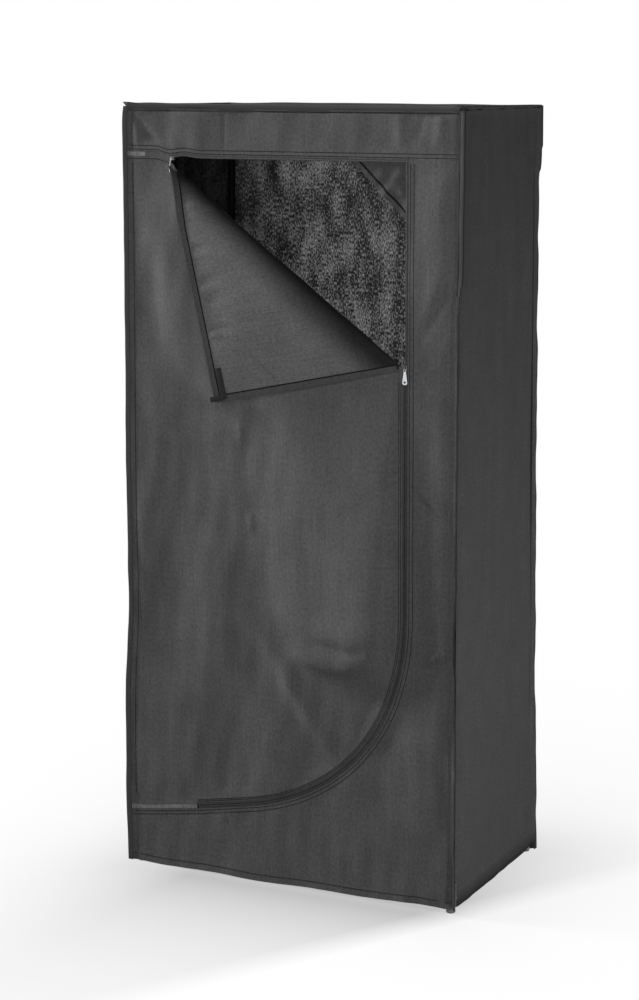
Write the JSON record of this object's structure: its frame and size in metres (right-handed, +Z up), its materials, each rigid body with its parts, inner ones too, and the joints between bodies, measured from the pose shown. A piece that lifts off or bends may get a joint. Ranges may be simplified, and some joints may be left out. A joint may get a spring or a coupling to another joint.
{
  "type": "portable fabric wardrobe",
  "caption": "Free-standing wardrobe with a zipped cloth cover over a plugged tube frame, a hanging rail and a curved zip door whose top corner folds down.",
  "frame": {"origin": "on the floor, under the middle of the whole object's box with its flap folded down as in the picture", "axes": "+Z up, +X to the right when facing the door, +Y from the door to the back"},
  "size_m": [0.751, 0.5203, 1.6],
  "materials": {
    "cover_cloth": "dark grey non-woven polyester, matt, finely speckled, with soft creases",
    "seam_binding": "darker bound edge of two cloths sewn together, matt",
    "zip_tape": "closely woven zip tape with a moulded row of teeth",
    "tail_tape": "mid grey woven tape, stitched along both edges",
    "tube_paint": "dark grey powder-coated steel tube, satin",
    "connector_plastic": "black moulded plastic, matt",
    "foot_plastic": "grey moulded plastic cap, satin",
    "zip_metal": "bright plated metal"
  },
  "bodies": {
    "root": {"front_left_post_lower": "tube_paint", "front_left_post_middle": "tube_paint", "front_left_post_upper": "tube_paint", "front_right_post_lower": "tube_paint", "front_right_post_middle": "tube_paint", "front_right_post_upper": "tube_paint", "back_left_post_lower": "tube_paint", "back_left_post_middle": "tube_paint", "back_left_post_upper": "tube_paint", "back_right_post_lower": "tube_paint", "back_right_post_middle": "tube_paint", "back_right_post_upper": "tube_paint", "front_top_rail": "tube_paint", "back_top_rail": "tube_paint", "left_top_rail": "tube_paint", "right_top_rail": "tube_paint", "front_bottom_rail": "tube_paint", "back_bottom_rail": "tube_paint", "left_bottom_rail": "tube_paint", "right_bottom_rail": "tube_paint", "hanging_rail": "tube_paint", "back_right_top_connector": "connector_plastic", "back_left_top_connector": "connector_plastic", "front_left_top_connector": "connector_plastic", "front_right_top_connector": "connector_plastic", "back_right_bottom_connector": "connector_plastic", "back_left_bottom_connector": "connector_plastic", "front_left_bottom_connector": "connector_plastic", "front_right_bottom_connector": "connector_plastic", "left_rail_bracket": "connector_plastic", "right_rail_bracket": "connector_plastic", "front_left_foot": "foot_plastic", "front_right_foot": "foot_plastic", "back_left_foot": "foot_plastic", "back_right_foot": "foot_plastic", "left_side_panel": "cover_cloth", "right_side_panel": "cover_cloth", "back_panel": "cover_cloth", "top_panel": "cover_cloth", "front_valance": "cover_cloth", "front_left_strip": "cover_cloth", "front_lower_panel": "cover_cloth", "corner_gusset": "cover_cloth", "back_right_seam": "seam_binding", "back_left_seam": "seam_binding", "front_left_seam": "seam_binding", "front_right_seam": "seam_binding", "top_seam": "seam_binding", "side_zip_tape": "zip_tape", "top_zip_tape": "zip_tape", "zip_tail_top": "tail_tape", "zip_tail_bottom": "tail_tape"},
    "door": {"door_panel": "cover_cloth", "door_zip_tape": "zip_tape"},
    "flap": {"door_flap": "cover_cloth", "flap_zip_tape": "zip_tape"},
    "top_slider": {"top_zip_slider": "zip_metal"},
    "top_pull": {"top_zip_pull": "zip_metal"},
    "side_slider": {"side_zip_slider": "zip_metal"},
    "side_pull": {"side_zip_pull": "zip_metal"}
  },
  "joints": [
    {"name": "door_swing", "type": "hinge", "parent": "root", "child": "door", "pos_m": [-0.2365, -0.1837, 0.8155], "axis": [-0.0378, 0, 0.9993], "range_deg": [-110, 0]},
    {"name": "door_corner_fold", "type": "hinge", "parent": "door", "child": "flap", "pos_m": [0.252, -0.18395, 1.088], "axis": [-0.773, -0.0643, 0.6311], "range_deg": [0, 175.58]},
    {"name": "top_zip_slide", "type": "slide", "parent": "root", "child": "top_slider", "axis": [1, 0, 0], "range_m": [0, 0.51]},
    {"name": "top_pull_swing", "type": "hinge", "parent": "top_slider", "child": "top_pull", "pos_m": [-0.266, -0.1891, 1.492], "axis": [-1, 0, 0], "range_deg": [0, 150]},
    {"name": "side_zip_slide", "type": "slide", "parent": "root", "child": "side_slider", "axis": [0, 0, 1], "range_m": [-0.49, 0.39]},
    {"name": "side_pull_swing", "type": "hinge", "parent": "side_slider", "child": "side_pull", "pos_m": [0.258, -0.18705, 1.0868], "axis": [-1, 0, 0], "range_deg": [0, 150]}
  ]
}
